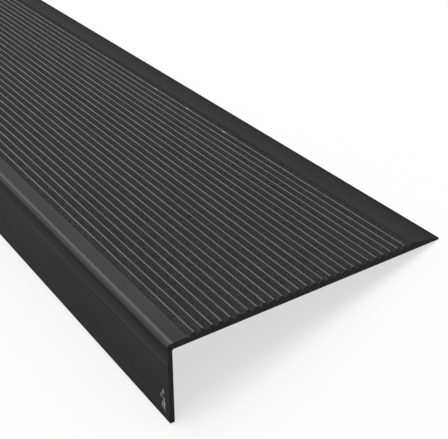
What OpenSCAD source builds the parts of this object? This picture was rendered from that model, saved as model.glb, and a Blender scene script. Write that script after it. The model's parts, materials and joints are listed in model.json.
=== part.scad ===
// Ribbed stair nosing: one extruded strip that covers the front edge of a step.
// A wide ribbed tread lies on the step and a short plain leg hangs over its riser.
// Millimetres, +X along the strip, the nose at -Y, +Z up. The strip lies unheld on
// a level floor, on the inner corner of its leg and the lower corner of its rear edge.

/* [Stock] */
// Length of the strip as it is sold
strip_length = 900; // [300:10:3000]

/* [Tread] */
// Depth of the tread, from the front of the nose to the rear edge
tread_depth = 80; // [60:1:120]
// Thickness of the tread under its smooth front band
tread_t = 1.7; // [1.4:0.1:4]
// Width of the smooth band behind the nose
front_band = 5.2; // [3:0.1:10]
// Run of the short slope from the smooth band into the first groove
band_slope = 0.3; // [0.2:0.05:1]
// Least run of the plain ramp behind the ribs
rear_ramp = 9; // [4:0.5:15]
// Thickness left at the rear edge, at the foot of the ramp
rear_edge_t = 0.6; // [0.3:0.1:1.2]

/* [Ribs] */
// Distance from one crest to the next
rib_pitch = 2.36; // [1.8:0.02:4]
// Height of the crests above the smooth band
rib_rise = 0.7; // [0.3:0.05:1.2]
// Depth of the groove floors below the smooth band
groove_sink = 0.25; // [0:0.05:0.6]
// Width of the flat along each crest
crest_w = 0.2; // [0.1:0.02:0.6]
// Width of the flat floor of each groove
groove_w = 0.16; // [0.1:0.02:0.6]

/* [Nose] */
// Radius of the nose
nose_r = 1.1; // [0.6:0.1:1.3]
// Height of the bead that the nose forms above the leg
nose_h = 1.6; // [1.5:0.1:4]
// How far the nose stands proud of the leg's face
nose_overhang = 0.1; // [0.05:0.05:0.2]

/* [Leg] */
// Drop from the smooth band to the lower edge of the leg
leg_drop = 22; // [15:0.5:50]
// Thickness of the leg
leg_t = 1.2; // [1:0.1:3]
// Drop from the smooth band to the fine bead along the leg's face
bead_drop = 6.2; // [4:0.1:10]
// Radius of that fine bead
bead_r = 0.2; // [0.1:0.05:0.5]
// Height of the thicker foot along the lower edge
foot_h = 3.4; // [1:0.1:5]
// How far the foot stands proud of the leg's face
foot_proud = 0.1; // [0.05:0.05:0.3]
// Radius along the foot's lower front edge
foot_r = 0.3; // [0.2:0.1:1]
// Fillet in the inner corner between the leg and the tread
corner_r = 0.8; // [0.3:0.1:2]

/* [Hidden] */
$fn = 64;

// Section places: u runs from the nose to the rear, v up from the smooth band
leg_face_u = nose_overhang;
leg_back_u = leg_face_u + leg_t;
foot_u = leg_face_u - foot_proud;
first_crest_u = front_band + band_slope + rib_pitch / 2;
rib_count = floor((tread_depth - rear_ramp - first_crest_u) / rib_pitch);
ramp_u = first_crest_u + rib_count * rib_pitch;
rear_top_v = rear_edge_t - tread_t;

// The strip leans back until the leg's inner corner and the rear edge both touch the floor
rest_tilt = atan((leg_drop - tread_t) / (tread_depth - leg_back_u));
floor_v = -tread_depth * sin(rest_tilt) - tread_t * cos(rest_tilt);
foot_front = (foot_u + foot_r) * cos(rest_tilt) - (leg_drop - foot_r) * sin(rest_tilt) - foot_r;
rear_back = tread_depth * cos(rest_tilt) + rear_top_v * sin(rest_tilt);
mid_depth = (foot_front + rear_back) / 2;

// One groove and the crest in front of it, from the rear to the front
function groove_and_crest(crest_u) = [
    [crest_u + (rib_pitch + groove_w) / 2, -groove_sink],
    [crest_u + (rib_pitch - groove_w) / 2, -groove_sink],
    [crest_u + crest_w / 2, rib_rise],
    [crest_u - crest_w / 2, rib_rise],
];

// The tread's upper outline from the rear edge forward to the front of the nose
function tread_outline() = concat(
    [
        [tread_depth, -tread_t],
        [tread_depth, rear_top_v],
        [ramp_u + crest_w / 2, rib_rise],
        [ramp_u - crest_w / 2, rib_rise],
    ],
    [for (i = [rib_count - 1 : -1 : 0], p = groove_and_crest(first_crest_u + i * rib_pitch)) p],
    [
        [first_crest_u - (rib_pitch - groove_w) / 2, -groove_sink],
        [first_crest_u - (rib_pitch + groove_w) / 2, -groove_sink],
        [front_band, 0],
        [0, 0],
    ]
);

// The leg's outline from under the nose down its face, round its foot and up its back
function leg_outline() = [
    [0, nose_overhang - nose_h],
    [leg_face_u, -nose_h],
    [leg_face_u, foot_h + foot_proud - leg_drop],
    [foot_u, foot_h - leg_drop],
    [foot_u, -leg_drop],
    [leg_back_u, -leg_drop],
    [leg_back_u, -tread_t],
];

// The sliver between a square corner and the arc that rounds it, corner at the origin
module corner_sliver(r) {
    difference() {
        square(r);
        translate([r, r])
            circle(r);
    }
}

// The extruded section, level as it is when fixed to a step
module section() {
    difference() {
        polygon(concat(tread_outline(), leg_outline()));
        mirror([0, 1])
            corner_sliver(nose_r);
        translate([foot_u, -leg_drop])
            corner_sliver(foot_r);
    }
    translate([leg_back_u, -tread_t])
        mirror([0, 1])
            corner_sliver(corner_r);
    translate([leg_face_u, -bead_drop])
        circle(bead_r);
}

// The whole strip, leaning back on the floor with its middle over the origin
module stair_nosing() {
    color("#3a3b3c")
        rotate([90, 0, 90])
            linear_extrude(strip_length, center = true)
                translate([-mid_depth, -floor_v])
                    rotate(-rest_tilt)
                        section();
}

stair_nosing();
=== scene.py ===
"""Looks of a ribbed stair nosing: one black anodised aluminium extrusion on a pale floor."""
import json
from math import atan2, copysign, cos, pi, radians, sin

import bmesh
import bpy
from mathutils import Matrix, Vector


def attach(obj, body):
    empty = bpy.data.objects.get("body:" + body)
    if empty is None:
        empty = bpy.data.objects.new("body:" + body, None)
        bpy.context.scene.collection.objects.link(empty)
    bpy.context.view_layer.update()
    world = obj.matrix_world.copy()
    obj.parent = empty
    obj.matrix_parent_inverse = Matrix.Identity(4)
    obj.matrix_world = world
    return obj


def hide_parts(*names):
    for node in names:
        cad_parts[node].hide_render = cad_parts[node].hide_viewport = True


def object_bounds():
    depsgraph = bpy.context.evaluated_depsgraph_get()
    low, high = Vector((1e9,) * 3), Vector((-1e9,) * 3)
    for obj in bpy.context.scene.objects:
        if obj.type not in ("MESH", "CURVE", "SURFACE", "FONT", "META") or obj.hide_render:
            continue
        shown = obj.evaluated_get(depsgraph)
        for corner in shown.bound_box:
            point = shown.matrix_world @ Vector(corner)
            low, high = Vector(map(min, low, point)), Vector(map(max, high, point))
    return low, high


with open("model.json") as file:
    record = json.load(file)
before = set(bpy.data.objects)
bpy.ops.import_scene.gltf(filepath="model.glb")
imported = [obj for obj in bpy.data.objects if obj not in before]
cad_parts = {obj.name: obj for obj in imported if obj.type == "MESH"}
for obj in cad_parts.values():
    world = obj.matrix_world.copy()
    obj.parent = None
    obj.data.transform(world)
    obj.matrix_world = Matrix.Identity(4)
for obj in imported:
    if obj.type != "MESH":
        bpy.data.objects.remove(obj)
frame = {"record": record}
cad_low, cad_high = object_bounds()

# Sizes of the section in millimetres: u runs back from the nose, v up from the smooth band
MM = 0.001
STRIP_LENGTH = (cad_high.x - cad_low.x) / MM
TREAD_DEPTH = 80
TREAD_T = 1.7
FRONT_BAND = 5.2
BAND_SLOPE = 0.3
REAR_RAMP = 9
REAR_EDGE_T = 0.6
RIB_PITCH = 2.36
RIB_RISE = 0.7
GROOVE_SINK = 0.25
CREST_W = 0.2
GROOVE_W = 0.16
NOSE_R = 1.1
NOSE_H = 1.6
NOSE_OVERHANG = 0.1
LEG_DROP = 22
LEG_T = 1.2
BEAD_DROP = 6.2
BEAD_R = 0.2
FOOT_H = 3.4
FOOT_PROUD = 0.1
FOOT_R = 0.3

# Places along the section that follow from those sizes
LEG_FACE = NOSE_OVERHANG
LEG_BACK = LEG_FACE + LEG_T
FOOT_FACE = LEG_FACE - FOOT_PROUD
FOOT_TOP = FOOT_H - LEG_DROP
FIRST_CREST = FRONT_BAND + BAND_SLOPE + RIB_PITCH / 2
RIB_COUNT = int((TREAD_DEPTH - REAR_RAMP - FIRST_CREST) / RIB_PITCH)
RAMP_START = FIRST_CREST + RIB_COUNT * RIB_PITCH
LAST_CREST = RAMP_START - RIB_PITCH
REAR_TOP = REAR_EDGE_T - TREAD_T
REAR_MIDDLE = (REAR_TOP - TREAD_T) / 2
FLANK_RUN = (RIB_PITCH - CREST_W - GROOVE_W) / 2
FLANK_DROP = RIB_RISE + GROOVE_SINK
NEAR_END = STRIP_LENGTH / 2

# Fine relief in millimetres: soft crests, a low swell above the leg's bead, a tight inner corner,
# eased sawn edges, and the ramp's round brow
CREST_SOFTNESS = 0.06
BEAD_SWELL = 1.6
CORNER_R = 0.4
END_EASE = 0.1
BAND_ROUND = 0.1
RAMP_ROUND = 0.6

# Roundings that the die and the etch leave: place on the section, width and segments
ROUNDINGS = [
    ((0, 0), NOSE_R, 12),
    ((FRONT_BAND, 0), BAND_ROUND, 3),
    ((0, NOSE_OVERHANG - NOSE_H), 0.06, 3),
    ((LEG_FACE, -NOSE_H), 0.06, 3),
    ((LEG_FACE, BEAD_SWELL - BEAD_DROP), 0.6, 4),
    ((LEG_FACE - BEAD_R, -BEAD_DROP), 0.14, 4),
    ((FOOT_FACE, FOOT_TOP), 0.06, 3),
    ((FOOT_FACE, -LEG_DROP), FOOT_R, 6),
    ((LEG_BACK, -TREAD_T), CORNER_R, 6),
    ((TREAD_DEPTH, REAR_TOP), 0.2, 3),
    ((RAMP_START, RIB_RISE), RAMP_ROUND, 6),
]

# How near a point counts as on a section place or an end plane, the gap over which points are
# merged, in millimetres, and the widest turn in degrees that is shaded smooth
ROW_SLACK = 0.004
END_SLACK = 0.01
MERGE_GAP = 0.002
SMOOTH_TURN = 32

# The strip leans back on the floor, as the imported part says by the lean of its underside
underside = next(m for m in frame["record"]["mounts"] if m["name"] == "tread_underside")
REST_TILT = atan2(-underside["axis"][1], -underside["axis"][2])
REST_PLACE = Vector((
    0,
    cad_high.y - (TREAD_DEPTH * cos(REST_TILT) + REAR_TOP * sin(REST_TILT)) * MM,
    (TREAD_DEPTH * sin(REST_TILT) + TREAD_T * cos(REST_TILT)) * MM,
))
REST = Matrix.Translation(REST_PLACE) @ Matrix.Rotation(-REST_TILT, 4, "X") @ Matrix.Scale(MM, 4)

# Greys on each form, partly the dye's own and worn greys and partly painted light and shade where a form
# faces towards or away from the light: the sum of the places back and up, and the grey
FRONT_WEAR_AND_SHADING = [
    (-LEG_DROP, "#262626"),           # darker along the foot's lower edge
    (2 - LEG_DROP, "#323232"),        # face of the foot
    (FOOT_TOP - 0.2, "#323232"),
    (FOOT_TOP + 0.2, "#383838"),      # painted highlight on its upward-facing upper edge
    (FOOT_TOP + 0.6, "#303030"),      # face of the leg
    (-BEAD_DROP - 2, "#343434"),
    (-BEAD_DROP - 1.1, "#383838"),    # a faint die line under the bead
    (-BEAD_DROP - 0.3, "#323232"),    # painted shade on the bead's downward-facing lower side
    (-BEAD_DROP + 0.6, "#404040"),    # painted light on its upward-facing upper side
    (-BEAD_DROP + 1.7, "#343434"),
    (-NOSE_H - 0.7, "#303030"),
    (-NOSE_H, "#262626"),             # painted shade in the undercut under the nose
    (-NOSE_H + 0.4, "#262626"),
    (-NOSE_H + 1.2, "#444444"),       # front of the nose, lightened as painted light on its rounding
    (NOSE_R - 0.4, "#505050"),
    (NOSE_R, "#646464"),              # line along the top of the nose: partly rubbed, partly painted highlight
    (NOSE_R + 0.2, "#646464"),
    (NOSE_R + 0.6, "#464646"),        # smooth band, lighter partly by wear and partly as painted light on its upward-facing top
    (FRONT_BAND - 0.7, "#464646"),
    (FRONT_BAND - 0.3, "#4a4a4a"),    # painted highlight on its rounded rear edge
    (FRONT_BAND, "#4a4a4a"),
    (FRONT_BAND + 0.2, "#2a2a2a"),    # slope into the first groove, darkened as painted shade
]
# Distances from the ends, in mm, over which the band's grey and the crests' grey come to their full
BAND_GREY_RUN = 15
CREST_GREY_RUN = 120
# Light scuffs on the leg: distance from the near end, drop below the band and radii in mm, and slant
SCUFFS = [
    (2.8, 14.7, (1.0, 0.6, 0.35), 78),
    (3.7, 16.2, (0.7, 0.6, 0.35), 88),
    (2.3, 18.0, (1.7, 0.6, 0.45), 96),
    (3.1, 18.2, (1.0, 0.6, 0.25), 84),
]
# Bright nicks on the rearmost crest: distances from the near end and radii in mm
NICKS = [79, 100, 120]
NICK_RADII = (0.9, 0.5, 0.5)
# Shares of its radii over which a scuff or nick fades out
SPOT_FADE = (0.4, 1.3)

# Sizes of the finish's patterns in millimetres: along the strip, back and up
DIE_LINES = (300, 0.4, 0.4)
ETCH_GRAIN = (0.4, 0.35, 0.35)
HANDLING = (30, 8, 8)
SCUFF_EDGE = (0.7, 0.7, 0.7)
GROOVE_GRAIN = (0.27, 0.23, 0.23)
GROOVE_STREAKS = (120, 0.5, 0.5)
CREST_WEAR = (9, 0.8, 0.8)
NICK_EDGE = (0.6, 0.6, 0.6)
SAW_MARKS = (1, 0.3, 6)
# The values between which most of a noise lies, and how rough its finer layers are
NOISE_SPAN = (0.35, 0.65)
NOISE_ROUGHNESS = 0.6

# Map through which the looks are to be baked. It is laid out in rows and columns of its picture's pixels. A
# rib takes a whole number of rows, and so does the zone of its crest and soft edges, so that all crest lines
# come out alike. Above the outer faces come the inner faces and then the sawn ends, each with their first row
# and their height in rows.
BAKE_MAP = "OFBake"
MAP_SIDE = 1024
MAP_MARGIN = 5
RIB_ROWS = 18
CREST_ROWS = 3
CREST_ZONE = CREST_W + 1.5 * CREST_SOFTNESS
FIRST_CREST_ROW = 223.5
INNER_ROWS = (790, 106)
END_ROWS = (906, 112)

# Camera, in the frame of the level tread: millimetres from the near end's nose, degrees, and lens in mm
CAMERA_PLACE = Vector((133.1, -75.9, 121.0))
CAMERA_AZIMUTH = 55.83
CAMERA_ELEVATION = 30.59
CAMERA_LENS = 74.0
CAMERA_CLIP = 10 * MM

# Side of the floor in metres, the share of plain white in it as it is seen, which lightens the
# shadow on it, and the distances over which it turns into the white surround
FLOOR_SIDE = 12
FLOOR_WHITE = 0.65
FLOOR_FADE = (0.7, 3)

# Softbox over the strip, in metres, with its brightness where white is one, and the light of the surround
KEY_PLACE = Vector((0.1, 0.2, 2.4))
KEY_AIM = Vector((0.3, 0, 0))
KEY_SIDE = 1.5
KEY_BRIGHTNESS = 5
SURROUND_LIGHT = 0.5
WHITE = (1, 1, 1, 1)


def linear(hex_colour):
    """The linear colour of an sRGB hex value."""
    parts = [int(hex_colour[i:i + 2], 16) / 255 for i in (1, 3, 5)]
    return [p / 12.92 if p <= 0.04045 else ((p + 0.055) / 1.055) ** 2.4 for p in parts] + [1]


def feed(tree, socket, value):
    """Links an input socket to a node or to one of its outputs, or sets it to a plain value."""
    if isinstance(value, bpy.types.Node):
        value = next(output for output in value.outputs if output.enabled)
    if isinstance(value, bpy.types.NodeSocket):
        tree.links.new(value, socket)
    else:
        socket.default_value = value


def add_node(tree, kind, *inputs, **settings):
    """Adds a node with its settings and feeds its inputs in their order: a Map Range takes a value, the
    span it comes from and the span it goes to, and a Mix a factor and two colours. None skips an input."""
    node = tree.nodes.new(kind)
    for name, value in settings.items():
        setattr(node, name, value)
    sockets = [socket for socket in node.inputs if socket.enabled]
    for socket, value in zip(sockets, inputs):
        if value is not None:
            feed(tree, socket, value)
    return node


def new_material(name):
    """A new material, with its node tree and the shader in it."""
    material = bpy.data.materials.new(name)
    material.use_nodes = True
    tree = material.node_tree
    return material, tree, tree.nodes["Principled BSDF"]


def section_coordinates(tree):
    """Object coordinates turned into millimetres along the strip, back from the nose and up."""
    place = add_node(tree, "ShaderNodeTexCoord").outputs["Object"]
    return add_node(
        tree, "ShaderNodeMapping", place, REST_PLACE, (-REST_TILT, 0, 0), (MM, MM, MM), vector_type="TEXTURE")


def cloud(tree, section, sizes, detail=2):
    """Noise whose blotches measure the given millimetres along the strip, back and up."""
    at = add_node(tree, "ShaderNodeMapping", section, None, None, [1 / size for size in sizes])
    return add_node(tree, "ShaderNodeTexNoise", at, 1, detail, NOISE_ROUGHNESS)


def share_off_the_ends(tree, section, run):
    """Nought at the strip's ends, rising to one within a run of millimetres from them."""
    along = add_node(tree, "ShaderNodeSeparateXYZ", section).outputs["X"]
    off_middle = add_node(tree, "ShaderNodeMath", along, operation="ABSOLUTE")
    return add_node(tree, "ShaderNodeMapRange", off_middle, NEAR_END - run, NEAR_END, 1, 0)


def front_wear_and_shading(tree, back, up):
    """The greys on the outer faces of foot, leg, nose and band: partly dye and wear, partly painted light and
    shade. The sum of the places back and up runs on from the foot over the nose to the first groove."""
    low, high = FRONT_WEAR_AND_SHADING[0][0], FRONT_WEAR_AND_SHADING[-1][0]
    along = add_node(tree, "ShaderNodeMath", back, up, operation="ADD")
    ramp = add_node(tree, "ShaderNodeValToRGB", add_node(tree, "ShaderNodeMapRange", along, low, high))
    stops = ramp.color_ramp.elements
    for place, grey in FRONT_WEAR_AND_SHADING[1:-1]:
        stops.new((place - low) / (high - low)).color = linear(grey)
    stops[0].color, stops[-1].color = linear(FRONT_WEAR_AND_SHADING[0][1]), linear(FRONT_WEAR_AND_SHADING[-1][1])
    return ramp


def rubbed_spot(tree, section, centre, radii, slant, ragged):
    """A mask that fades out from the middle of a ragged spot: centre and radii in millimetres, and
    the angle in degrees by which its length rises towards the near end."""
    turn = (0, -radians(slant), 0)
    at = add_node(tree, "ShaderNodeMapping", section, centre, turn, radii, vector_type="TEXTURE")
    reach = add_node(tree, "ShaderNodeVectorMath", at, operation="LENGTH")
    edge = add_node(tree, "ShaderNodeMath", reach, ragged, operation="ADD")
    return add_node(tree, "ShaderNodeMapRange", edge, *SPOT_FADE, 1, 0)


def dye_wear_and_shading(tree, section):
    """The black without scuffs: greys in front that are partly wear and partly painted light and shade, plain
    black below and behind, and a ramp whose grey darkens towards its rear edge as painted shade, darker still
    along the edge."""
    place = add_node(tree, "ShaderNodeSeparateXYZ", section).outputs
    back, up = place["Y"], place["Z"]
    on_top = add_node(tree, "ShaderNodeMapRange", up, REAR_MIDDLE - 0.05, REAR_MIDDLE + 0.05)
    in_front = add_node(tree, "ShaderNodeMapRange", back, LEG_BACK - 0.6, LEG_BACK - 0.4, 1, 0)
    outside = add_node(tree, "ShaderNodeMath", on_top, in_front, operation="MAXIMUM")

    # Foot, leg and nose keep their greys to the very ends; the band's grey turns a little towards plain black
    # near them
    off_ends = share_off_the_ends(tree, section, BAND_GREY_RUN)
    band_grey_share = add_node(tree, "ShaderNodeMapRange", off_ends, 0, 1, 0.6, 1)
    front_grey_share = add_node(tree, "ShaderNodeMapRange", back, NOSE_R + 0.2, NOSE_R + 0.8, 1, band_grey_share)
    front_greyed = add_node(tree, "ShaderNodeMath", outside, front_grey_share, operation="MULTIPLY")
    base_grey = add_node(
        tree, "ShaderNodeMix", front_greyed, linear("#313131"), front_wear_and_shading(tree, back, up), data_type="RGBA")

    # Painted shade: the ramp's grey darkens towards the rear edge, and a darker line runs along the edge
    to_rear = add_node(tree, "ShaderNodeMapRange", back, RAMP_START + 1, TREAD_DEPTH)
    ramp = add_node(tree, "ShaderNodeMix", to_rear, linear("#353535"), linear("#282828"), data_type="RGBA")
    at_edge = add_node(tree, "ShaderNodeMapRange", back, TREAD_DEPTH - 1.6, TREAD_DEPTH - 0.9, 0, 0.8)
    ramp = add_node(tree, "ShaderNodeMix", at_edge, ramp, linear("#1c1c1c"), data_type="RGBA")
    on_ramp = add_node(tree, "ShaderNodeMapRange", back, RAMP_START - RAMP_ROUND, RAMP_START)
    return add_node(tree, "ShaderNodeMix", on_ramp, base_grey, ramp, data_type="RGBA"), on_top


def leg_scuffs(tree, section):
    """A mask of the light scuffs on the leg by its near end."""
    edge = cloud(tree, section, SCUFF_EDGE, 4)
    ragged = add_node(tree, "ShaderNodeMapRange", edge, *NOISE_SPAN, -0.5, 0.5)
    scuffs = None
    for along, drop, radii, slant in SCUFFS:
        spot = rubbed_spot(tree, section, (NEAR_END - along, LEG_FACE, -drop), radii, slant, ragged)
        scuffs = spot if scuffs is None else add_node(
            tree, "ShaderNodeMath", scuffs, spot, operation="MAXIMUM")
    return scuffs


def black_anodised_aluminium():
    """Extruded aluminium, etched and dyed black: a nearly matt sheen, faint die lines along the strip, a fine
    etch grain, greys on edges and faces that are partly wear and partly painted light and shade, and light
    scuffs that have broken the dye."""
    material, tree, shader = new_material("black_anodised_aluminium")
    section = section_coordinates(tree)
    die_lines = cloud(tree, section, DIE_LINES, 3)
    etch = cloud(tree, section, ETCH_GRAIN, 3)
    handling = cloud(tree, section, HANDLING)
    # The greys of the outer faces include painted light and shade
    base_grey, on_top = dye_wear_and_shading(tree, section)
    scuffs = leg_scuffs(tree, section)

    die_shade = add_node(tree, "ShaderNodeMapRange", die_lines, *NOISE_SPAN, 0.95, 1.05)
    hand_shade = add_node(tree, "ShaderNodeMapRange", handling, *NOISE_SPAN, 0.96, 1.04)
    grit_low = add_node(tree, "ShaderNodeMapRange", on_top, 0, 1, 0.95, 0.8)
    grit_high = add_node(tree, "ShaderNodeMapRange", on_top, 0, 1, 1.05, 1.2)
    grit = add_node(tree, "ShaderNodeMapRange", etch, *NOISE_SPAN, grit_low, grit_high)
    streaks = add_node(tree, "ShaderNodeMath", die_shade, hand_shade, operation="MULTIPLY")
    shade = add_node(tree, "ShaderNodeMath", streaks, grit, operation="MULTIPLY")
    base_grey = add_node(tree, "ShaderNodeVectorMath", base_grey, shade, operation="SCALE")
    colour = add_node(tree, "ShaderNodeMix", scuffs, base_grey, linear("#989898"), data_type="RGBA")

    sheen = add_node(tree, "ShaderNodeMapRange", etch, *NOISE_SPAN, 0.62, 0.72)
    scuff_dullness = add_node(tree, "ShaderNodeMapRange", scuffs, 0, 1, 0, 0.15)
    roughness = add_node(tree, "ShaderNodeMath", sheen, scuff_dullness, operation="ADD")
    relief = add_node(tree, "ShaderNodeMath", die_lines, etch, operation="ADD")
    feed(tree, shader.inputs["Base Color"], colour)
    feed(tree, shader.inputs["Roughness"], roughness)
    feed(tree, shader.inputs["Normal"], add_node(tree, "ShaderNodeBump", 0.35, 0.012 * MM, None, relief))
    feed(tree, shader.inputs["Specular IOR Level"], 0.02)
    return material


def matt_groove_aluminium():
    """Rib flanks and groove floors, left matt by the etch: a dull, slightly grey black with a
    mottled grain of about 0.3 mm, drawn a little coarse so that it shows."""
    material, tree, shader = new_material("matt_groove_aluminium")
    section = section_coordinates(tree)
    grain = cloud(tree, section, GROOVE_GRAIN)
    streaks = cloud(tree, section, GROOVE_STREAKS)
    mottle = add_node(tree, "ShaderNodeMapRange", grain, 0.32, 0.68)
    base_grey = add_node(tree, "ShaderNodeMix", mottle, linear("#161616"), linear("#525252"), data_type="RGBA")
    evenness = add_node(tree, "ShaderNodeMapRange", streaks, *NOISE_SPAN, 0, 0.4)
    colour = add_node(tree, "ShaderNodeMix", evenness, base_grey, linear("#2f2f2f"), data_type="RGBA")
    roughness = add_node(tree, "ShaderNodeMapRange", grain, *NOISE_SPAN, 0.6, 0.75)
    feed(tree, shader.inputs["Base Color"], colour)
    feed(tree, shader.inputs["Roughness"], roughness)
    feed(tree, shader.inputs["Normal"], add_node(tree, "ShaderNodeBump", 0.5, 0.03 * MM, None, grain))
    feed(tree, shader.inputs["Specular IOR Level"], 0.02)
    return material


def crest_wear_and_highlight():
    """Rib crests as fine grey lines, partly dye rubbed thin by feet and partly a painted highlight along each
    crest: a little uneven along the strip, lighter away from its ends, with three bright nicks on the
    rearmost crest."""
    material, tree, shader = new_material("crest_wear_and_highlight")
    section = section_coordinates(tree)
    wear = add_node(tree, "ShaderNodeMapRange", cloud(tree, section, CREST_WEAR, 3), *NOISE_SPAN)
    # Painted highlight: the crest greys stand partly for light caught along each crest, partly for rubbed dye
    at_ends = add_node(tree, "ShaderNodeMix", wear, linear("#646464"), linear("#7a7a7a"), data_type="RGBA")
    midway = add_node(tree, "ShaderNodeMix", wear, linear("#747474"), linear("#8e8e8e"), data_type="RGBA")
    away_from_ends = share_off_the_ends(tree, section, CREST_GREY_RUN)
    grey = add_node(tree, "ShaderNodeMix", away_from_ends, at_ends, midway, data_type="RGBA")
    edge = cloud(tree, section, NICK_EDGE)
    ragged = add_node(tree, "ShaderNodeMapRange", edge, *NOISE_SPAN, -0.3, 0.3)
    for along in NICKS:
        nick = rubbed_spot(tree, section, (NEAR_END - along, LAST_CREST, RIB_RISE), NICK_RADII, 0, ragged)
        grey = add_node(tree, "ShaderNodeMix", nick, grey, linear("#d0d0d0"), data_type="RGBA")
    feed(tree, shader.inputs["Base Color"], grey)
    feed(tree, shader.inputs["Roughness"], add_node(tree, "ShaderNodeMapRange", wear, 0, 1, 0.38, 0.5))
    feed(tree, shader.inputs["Specular IOR Level"], 0.08)
    return material


def sawn_anodised_aluminium():
    """Saw-cut ends under the same dye: dull black, darker than the faces as painted shade, with fine upright
    saw marks.
    """
    material, tree, shader = new_material("sawn_anodised_aluminium")
    saw_marks = cloud(tree, section_coordinates(tree), SAW_MARKS, 3)
    mark = add_node(tree, "ShaderNodeMapRange", saw_marks, *NOISE_SPAN)
    # Painted shade: the ends are kept darker than the dyed faces
    colour = add_node(tree, "ShaderNodeMix", mark, linear("#151515"), linear("#252525"), data_type="RGBA")
    feed(tree, shader.inputs["Base Color"], colour)
    feed(tree, shader.inputs["Normal"], add_node(tree, "ShaderNodeBump", 0.5, 0.03 * MM, None, saw_marks))
    feed(tree, shader.inputs["Roughness"], 0.65)
    feed(tree, shader.inputs["Specular IOR Level"], 0.1)
    return material


def start_editing(piece):
    """Makes the piece the only selected object and opens its mesh with nothing selected."""
    bpy.ops.object.select_all(action="DESELECT")
    piece.select_set(True)
    bpy.context.view_layer.objects.active = piece
    bpy.ops.object.mode_set(mode="EDIT")
    bpy.ops.mesh.select_all(action="DESELECT")


def select_edges(piece, wanted):
    """Selects the edges whose two corners pass a test, and nothing else."""
    bpy.ops.mesh.select_all(action="DESELECT")
    bpy.ops.mesh.select_mode(type="EDGE")
    mesh = bmesh.from_edit_mesh(piece.data)
    for edge in mesh.edges:
        edge.select_set(wanted(edge.verts[0].co, edge.verts[1].co))
    mesh.select_flush_mode()
    bmesh.update_edit_mesh(piece.data)


def select_rows(piece, places):
    """Selects the long edges that run through the given section places."""
    select_edges(piece, lambda a, b: abs(a.x - b.x) > STRIP_LENGTH / 2 and any(
        abs(a.y - u) < ROW_SLACK and abs(a.z - v) < ROW_SLACK for u, v in places))


def select_end_rim(piece, end):
    """Selects the edges that lie in one of the strip's end planes."""
    select_edges(piece, lambda a, b: abs(a.x - end) < END_SLACK and abs(b.x - end) < END_SLACK)


def extrude_row(du, dv):
    """Pulls a new strip of the sheet out of the selected long edge."""
    bpy.ops.mesh.extrude_region_move(TRANSFORM_OT_translate={"value": (0, du, dv)})


def model_ribs():
    """One rib drawn from its crest outwards, softened, and repeated at the rib pitch."""
    bpy.ops.object.select_all(action="DESELECT")
    bpy.ops.mesh.primitive_plane_add(size=1, calc_uvs=False, location=(0, FIRST_CREST, RIB_RISE))
    piece = bpy.context.object
    piece.name = "nosing_strip"
    piece.scale = (STRIP_LENGTH, CREST_W, 1)
    bpy.ops.object.transform_apply(location=True, rotation=True, scale=True)
    start_editing(piece)
    for side in (-1, 1):
        select_rows(piece, [(FIRST_CREST + side * CREST_W / 2, RIB_RISE)])
        extrude_row(side * FLANK_RUN, -FLANK_DROP)
        extrude_row(side * GROOVE_W / 2, 0)
    select_rows(piece, [(FIRST_CREST + side * CREST_W / 2, RIB_RISE) for side in (-1, 1)])
    bpy.ops.mesh.bevel(offset=CREST_SOFTNESS, segments=2, affect="EDGES")
    bpy.ops.object.mode_set(mode="OBJECT")
    ribs = piece.modifiers.new("ribs", "ARRAY")
    ribs.count = RIB_COUNT
    ribs.use_relative_offset = False
    ribs.use_constant_offset = True
    ribs.constant_offset_displace = (0, RIB_PITCH, 0)
    ribs.use_merge_vertices = True
    ribs.merge_threshold = MERGE_GAP
    bpy.ops.object.modifier_apply(modifier=ribs.name)
    return piece


def walk_round_section(piece):
    """Carries the sheet on from the first groove, round nose and leg, back to the last groove, takes
    out the seams between the ribs and closes the ends."""
    stations = [
        (FIRST_CREST - RIB_PITCH / 2, -GROOVE_SINK),
        (FIRST_CREST - (RIB_PITCH + GROOVE_W) / 2, -GROOVE_SINK),
        (FRONT_BAND, 0),
        (0, 0),
        (0, NOSE_OVERHANG - NOSE_H),
        (LEG_FACE, -NOSE_H),
        (LEG_FACE, BEAD_SWELL - BEAD_DROP),
        (LEG_FACE - BEAD_R, -BEAD_DROP),
        (LEG_FACE, -BEAD_R - BEAD_DROP),
        (LEG_FACE, FOOT_TOP + FOOT_PROUD),
        (FOOT_FACE, FOOT_TOP),
        (FOOT_FACE, -LEG_DROP),
        (LEG_BACK, -LEG_DROP),
        (LEG_BACK, -TREAD_T),
        (TREAD_DEPTH, -TREAD_T),
        (TREAD_DEPTH, REAR_TOP),
        (RAMP_START, RIB_RISE),
        (RAMP_START - (RIB_PITCH - GROOVE_W) / 2, -GROOVE_SINK),
        (RAMP_START - RIB_PITCH / 2, -GROOVE_SINK),
    ]
    start_editing(piece)
    select_rows(piece, stations[:1])
    for here, there in zip(stations, stations[1:]):
        extrude_row(there[0] - here[0], there[1] - here[1])
    bpy.ops.mesh.select_all(action="SELECT")
    bpy.ops.mesh.remove_doubles(threshold=MERGE_GAP)
    seams = [(FIRST_CREST + (i - 0.5) * RIB_PITCH, -GROOVE_SINK) for i in range(RIB_COUNT + 1)]
    select_rows(piece, seams)
    bpy.ops.mesh.dissolve_edges()
    for end in (-NEAR_END, NEAR_END):
        select_end_rim(piece, end)
        bpy.ops.mesh.edge_face_add()
    bpy.ops.mesh.select_all(action="SELECT")
    bpy.ops.mesh.normals_make_consistent(inside=False)


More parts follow.
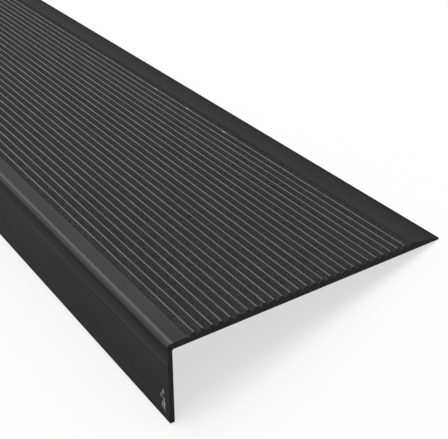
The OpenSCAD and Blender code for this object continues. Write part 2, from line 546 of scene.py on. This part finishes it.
def soften_edges(piece):
    """Rounds the nose, the foot, the inner corner and the small edges, eases the sawn ends, which stay
    flat inside their rims, and shades the roundings smooth between the flats."""
    for place, width, segments in ROUNDINGS:
        select_rows(piece, [place])
        bpy.ops.mesh.bevel(offset=width, segments=segments, affect="EDGES")
    for end in (-NEAR_END, NEAR_END):
        select_end_rim(piece, end)
        bpy.ops.mesh.bevel(offset=END_EASE, segments=2, affect="EDGES", clamp_overlap=False)
        select_end_rim(piece, end)
        bpy.ops.mesh.mark_sharp()
        bpy.ops.mesh.quads_convert_to_tris(ngon_method="BEAUTY")
    bpy.ops.object.mode_set(mode="OBJECT")
    bpy.ops.object.shade_smooth_by_angle(angle=radians(SMOOTH_TURN))
    flats = piece.modifiers.new("flats", "WEIGHTED_NORMAL")
    flats.keep_sharp = True
    bpy.ops.object.modifier_apply(modifier=flats.name)


def is_sawn(face):
    """Whether a face belongs to a sawn end, as the outer half of its eased edge does too."""
    return abs(face.normal.x) > 0.9


def finish_faces(piece):
    """Satin black, with matt grooves, grey crests that are partly rubbed and partly painted highlight, and a
    dull black on the ends that is partly painted shade.
    """
    for material in (
            black_anodised_aluminium(), matt_groove_aluminium(),
            crest_wear_and_highlight(), sawn_anodised_aluminium()):
        piece.data.materials.append(material)
    satin, groove, crest, sawn = range(4)
    for face in piece.data.polygons:
        u, v = face.center.y, face.center.z
        in_ribs = FRONT_BAND + BAND_ROUND / 2 < u < RAMP_START - RAMP_ROUND and v > -TREAD_T / 2
        on_crest = v > RIB_RISE - CREST_SOFTNESS / 2 and u < LAST_CREST + CREST_W
        if is_sawn(face):
            face.material_index = sawn
        elif in_ribs:
            face.material_index = crest if on_crest else groove
        else:
            face.material_index = satin


def outer_row(u, v):
    """The map's row for a place on the outer faces, which run from the foot over the nose to the rear
    edge. Among the ribs it spreads each crest a little and draws its flanks together."""
    if u < FRONT_BAND:
        u += v
    rib = round((u - FIRST_CREST) / RIB_PITCH)
    off = (u - FIRST_CREST) - rib * RIB_PITCH
    rows = off / RIB_PITCH * RIB_ROWS
    if 0 <= rib < RIB_COUNT and abs(off) < CREST_ZONE / 2:
        rows = off / CREST_ZONE * CREST_ROWS
    elif 0 <= rib < RIB_COUNT:
        down_flank = (abs(off) - CREST_ZONE / 2) / (RIB_PITCH - CREST_ZONE)
        rows = copysign(CREST_ROWS / 2 + down_flank * (RIB_ROWS - CREST_ROWS), off)
    return FIRST_CREST_ROW + rib * RIB_ROWS + rows


def lay_out_map(piece):
    """Unrolls the strip onto its map: along the strip from side to side, round the section upwards, and
    the two sawn ends side by side."""
    mesh = piece.data
    corners = mesh.uv_layers.new(name=BAKE_MAP).data
    for face in mesh.polygons:
        faces_forward = face.normal.y < -0.5
        outer = faces_forward or face.center.z > REAR_MIDDLE
        for corner in face.loop_indices:
            x, u, v = mesh.vertices[mesh.loops[corner].vertex_index].co
            across = x / STRIP_LENGTH + 0.5
            if is_sawn(face):
                across = (u / TREAD_DEPTH + (x > 0)) / 2
                row = END_ROWS[0] + END_ROWS[1] * (LEG_DROP + v) / (LEG_DROP + RIB_RISE)
            elif outer:
                row = outer_row(u, v)
            else:
                row = INNER_ROWS[0] + INNER_ROWS[1] * (LEG_DROP + u + v) / (LEG_DROP + TREAD_DEPTH)
            column = MAP_MARGIN + across * (MAP_SIDE - 2 * MAP_MARGIN)
            corners[corner].uv = (column / MAP_SIDE, row / MAP_SIDE)


def nosing_strip():
    """The whole strip, modelled level in millimetres and then laid down as it rests."""
    piece = model_ribs()
    walk_round_section(piece)
    soften_edges(piece)
    finish_faces(piece)
    lay_out_map(piece)
    piece.matrix_world = REST
    bpy.ops.object.transform_apply(location=True, rotation=True, scale=True)
    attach(piece, "root")
    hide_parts("stair_nosing")


def background_rays(tree):
    """One for the rays that show the background: camera, glossy and transmission rays."""
    ray = add_node(tree, "ShaderNodeLightPath").outputs
    seen = add_node(tree, "ShaderNodeMath", ray["Is Camera Ray"], ray["Is Glossy Ray"], operation="MAXIMUM")
    return add_node(tree, "ShaderNodeMath", seen, ray["Is Transmission Ray"], operation="MAXIMUM")


def floor():
    """A wide pale floor that fades into the white surround, with a light shadow under the strip."""
    bpy.ops.object.select_all(action="DESELECT")
    bpy.ops.mesh.primitive_plane_add(size=FLOOR_SIDE, location=(0, 0, 0))
    piece = bpy.context.object
    piece.name = "floor"
    material, tree, shader = new_material("pale_floor")
    feed(tree, shader.inputs["Base Color"], linear("#fafafa"))
    feed(tree, shader.inputs["Roughness"], 0.9)
    feed(tree, shader.inputs["Specular IOR Level"], 0)
    place = add_node(tree, "ShaderNodeTexCoord").outputs["Object"]
    reach = add_node(tree, "ShaderNodeVectorMath", place, operation="LENGTH")
    whiteness = add_node(tree, "ShaderNodeMapRange", reach, *FLOOR_FADE, FLOOR_WHITE, 1)
    share = add_node(tree, "ShaderNodeMapRange", background_rays(tree), 0, 1, 0, whiteness)
    white = add_node(tree, "ShaderNodeEmission", WHITE, 1)
    pale = add_node(tree, "ShaderNodeMixShader", share, shader, white)
    feed(tree, tree.nodes["Material Output"].inputs["Surface"], pale)
    piece.data.materials.append(material)


def key_light():
    """One wide softbox that hangs over the strip and faces it."""
    light = bpy.data.lights.new("key", "AREA")
    light.shape = "SQUARE"
    light.size = KEY_SIDE
    light.energy = KEY_BRIGHTNESS * pi * KEY_SIDE ** 2
    lamp = bpy.data.objects.new("key", light)
    lamp.location = KEY_PLACE
    lamp.rotation_euler = (KEY_AIM - KEY_PLACE).to_track_quat("-Z", "Y").to_euler()
    lamp.visible_camera = False
    bpy.context.collection.objects.link(lamp)


def surround():
    """A surround that is white to look at and gives a plain, even light."""
    world = bpy.data.worlds.new("studio")
    world.use_nodes = True
    bpy.context.scene.world = world
    tree = world.node_tree
    back = tree.nodes["Background"]
    strength = add_node(tree, "ShaderNodeMapRange", background_rays(tree), 0, 1, SURROUND_LIGHT, 1)
    feed(tree, back.inputs["Color"], WHITE)
    feed(tree, back.inputs["Strength"], strength)


def camera():
    """The photograph's own viewpoint, carried along with the strip's lean."""
    azimuth, elevation = radians(CAMERA_AZIMUTH), radians(CAMERA_ELEVATION)
    back = Vector((sin(azimuth) * cos(elevation), -cos(azimuth) * cos(elevation), sin(elevation)))
    place = CAMERA_PLACE + Vector((NEAR_END, 0, 0))
    data = bpy.data.cameras.new("camera")
    data.lens = CAMERA_LENS
    data.clip_start = CAMERA_CLIP
    viewer = bpy.data.objects.new("camera", data)
    lean = Matrix.Rotation(-REST_TILT, 4, "X")
    turn = back.to_track_quat("Z", "Y").to_matrix().to_4x4()
    viewer.matrix_world = Matrix.Translation(REST @ place) @ lean @ turn
    bpy.context.collection.objects.link(viewer)
    bpy.context.scene.camera = viewer


camera()
nosing_strip()
floor()
surround()
key_light()
bpy.context.scene.view_settings.view_transform = "Standard"
